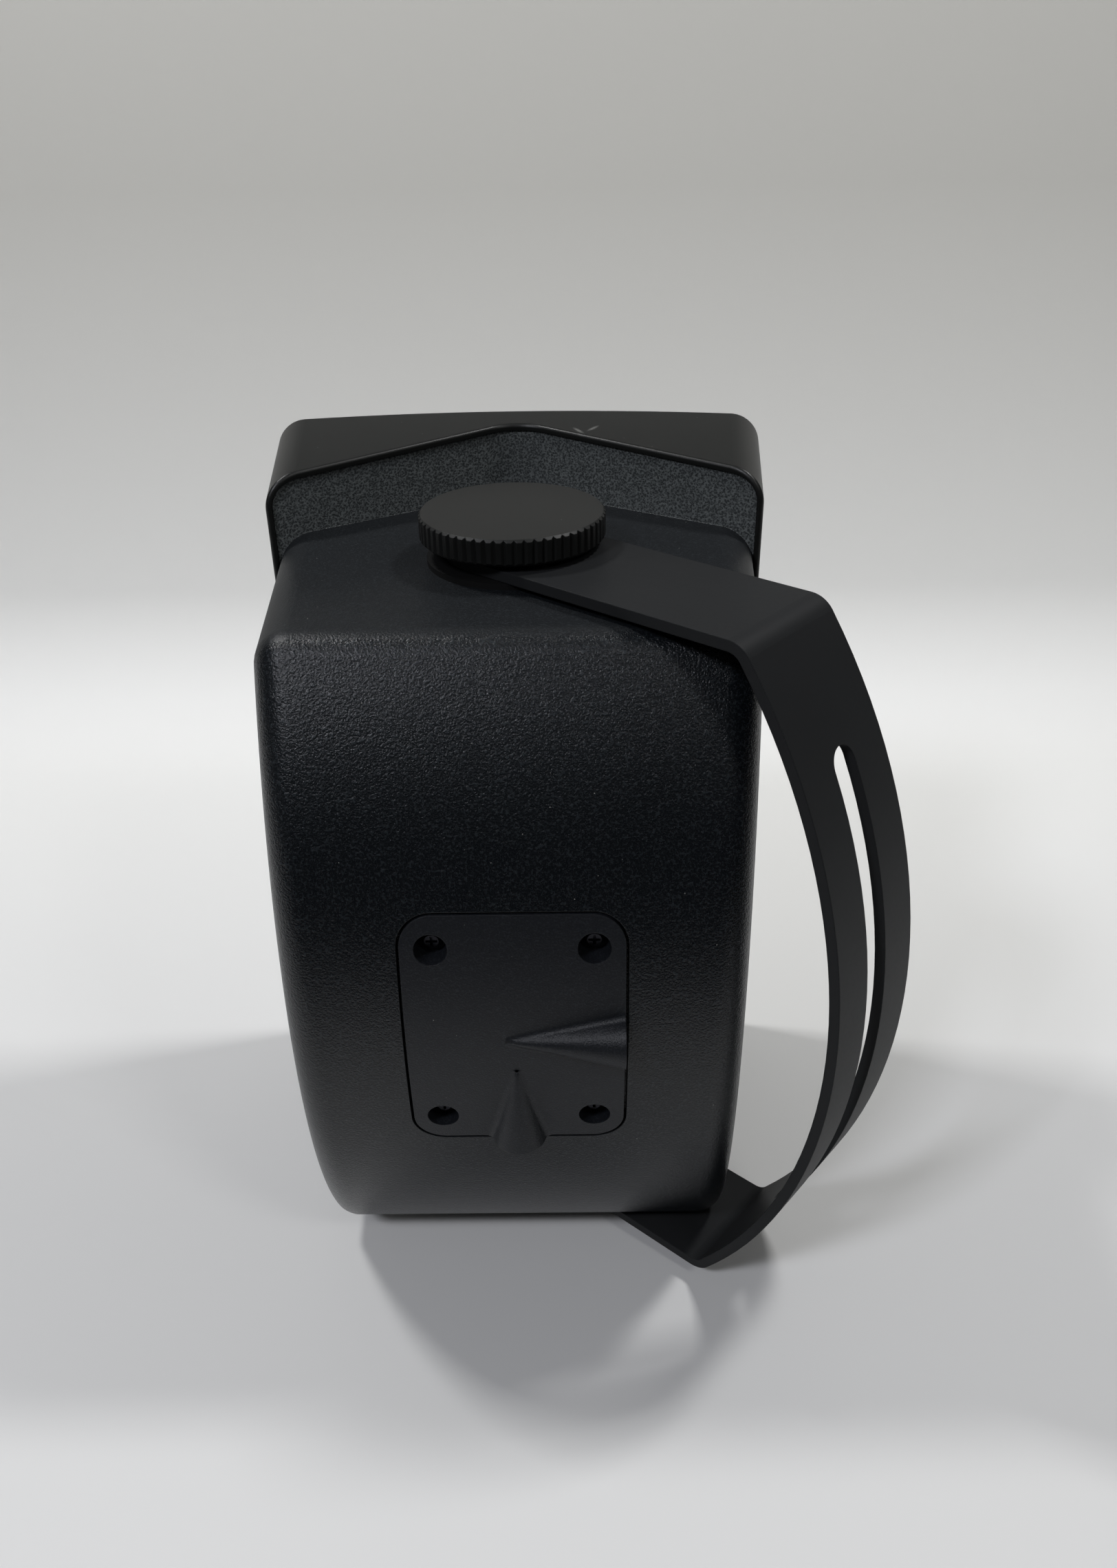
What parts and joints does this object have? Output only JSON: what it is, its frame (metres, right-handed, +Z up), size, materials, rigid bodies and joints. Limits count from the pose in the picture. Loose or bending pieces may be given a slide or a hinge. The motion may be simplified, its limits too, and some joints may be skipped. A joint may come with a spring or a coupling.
{
  "type": "outdoor speaker",
  "caption": "All-weather two-way speaker in a bowed moulded cabinet with a bowed grille, hung in a slotted C-bracket by fluted clamp knobs, with a screwed cable cover at the back.",
  "frame": {"origin": "on the swivel axis, at the outer face of the lower clamp knob", "axes": "+Z up along the swivel axis, -Y out of the grille, +X to the right as seen from the grille"},
  "size_m": [0.2135, 0.1948, 0.2932],
  "materials": {
    "black_abs": "satin",
    "frame_abs": "satin",
    "grille_steel": "satin",
    "bracket_steel": "satin",
    "knob_abs": "satin",
    "black_rubber": "plain",
    "black_screw_steel": "satin",
    "zinc_steel": "plain",
    "brass": "plain",
    "basket_steel": "satin",
    "cone_polypropylene": "satin",
    "spider_cloth": "plain",
    "former_aluminium": "plain",
    "copper": "plain",
    "ferrite": "plain",
    "tweeter_abs": "satin",
    "dome_silk": "plain",
    "board_fibreglass": "satin",
    "capacitor_film": "plain",
    "resistor_cement": "satin"
  },
  "bodies": {
    "cabinet": {"cabinet_tub": "black_abs", "front_frame": "frame_abs", "grille": "grille_steel", "frame_screws": "black_screw_steel", "lower_pad": "black_rubber", "upper_pad": "black_rubber", "lower_insert": "brass", "upper_insert": "brass", "terminal_cover": "black_abs", "cover_seal": "black_rubber", "cover_screws": "black_screw_steel", "cable_grommets": "black_rubber", "terminal_block": "tweeter_abs", "terminal_screws": "brass", "woofer_basket": "basket_steel", "woofer_screws": "black_screw_steel", "woofer_surround": "black_rubber", "woofer_spider": "spider_cloth", "woofer_top_plate": "zinc_steel", "woofer_magnet": "ferrite", "woofer_yoke": "zinc_steel", "tweeter_plate": "tweeter_abs", "tweeter_screws": "black_screw_steel", "tweeter_dome": "dome_silk", "tweeter_coil": "copper", "tweeter_top_plate": "zinc_steel", "tweeter_magnet": "ferrite", "tweeter_yoke": "zinc_steel", "crossover_board": "board_fibreglass", "board_screws": "zinc_steel", "crossover_coil": "copper", "crossover_capacitors": "capacitor_film", "crossover_resistor": "resistor_cement"},
    "bracket": {"bracket": "bracket_steel"},
    "lower_washer_body": {"lower_washer": "zinc_steel"},
    "upper_washer_body": {"upper_washer": "zinc_steel"},
    "lower_knob_body": {"lower_knob": "knob_abs", "lower_stud": "zinc_steel"},
    "upper_knob_body": {"upper_knob": "knob_abs", "upper_stud": "zinc_steel"},
    "woofer_moving": {"woofer_cone": "cone_polypropylene", "woofer_dust_cap": "cone_polypropylene", "woofer_coil_former": "former_aluminium", "woofer_winding": "copper"}
  },
  "joints": [
    {"name": "bracket_swivel", "type": "hinge", "parent": "cabinet", "child": "bracket", "pos_m": [0, 0, 0.1359], "axis": [0, 0, 1], "range_deg": [-137.6, 38.4]},
    {"name": "lower_clamp_lift", "type": "slide", "parent": "cabinet", "child": "lower_washer_body", "axis": [0, 0, -1], "range_m": [0, 0.00375]},
    {"name": "lower_knob_turn", "type": "hinge", "parent": "lower_washer_body", "child": "lower_knob_body", "pos_m": [0, 0, 0], "axis": [0, 0, -1], "range_deg": [0, 1080]},
    {"name": "upper_clamp_lift", "type": "slide", "parent": "cabinet", "child": "upper_washer_body", "axis": [0, 0, 1], "range_m": [0, 0.00375]},
    {"name": "upper_knob_turn", "type": "hinge", "parent": "upper_washer_body", "child": "upper_knob_body", "pos_m": [0, 0, 0.2718], "axis": [0, 0, 1], "range_deg": [0, 1080]},
    {"name": "woofer_travel", "type": "slide", "parent": "cabinet", "child": "woofer_moving", "axis": [0, -1, 0], "range_m": [-0.003, 0.003], "stiffness_N_per_m": 1000, "deforming": ["woofer_surround", "woofer_spider"]}
  ],
  "couplings": [
    {"joint": "lower_clamp_lift", "follows": "lower_knob_turn", "m_per_rad": 0.00019894},
    {"joint": "upper_clamp_lift", "follows": "upper_knob_turn", "m_per_rad": 0.00019894}
  ]
}
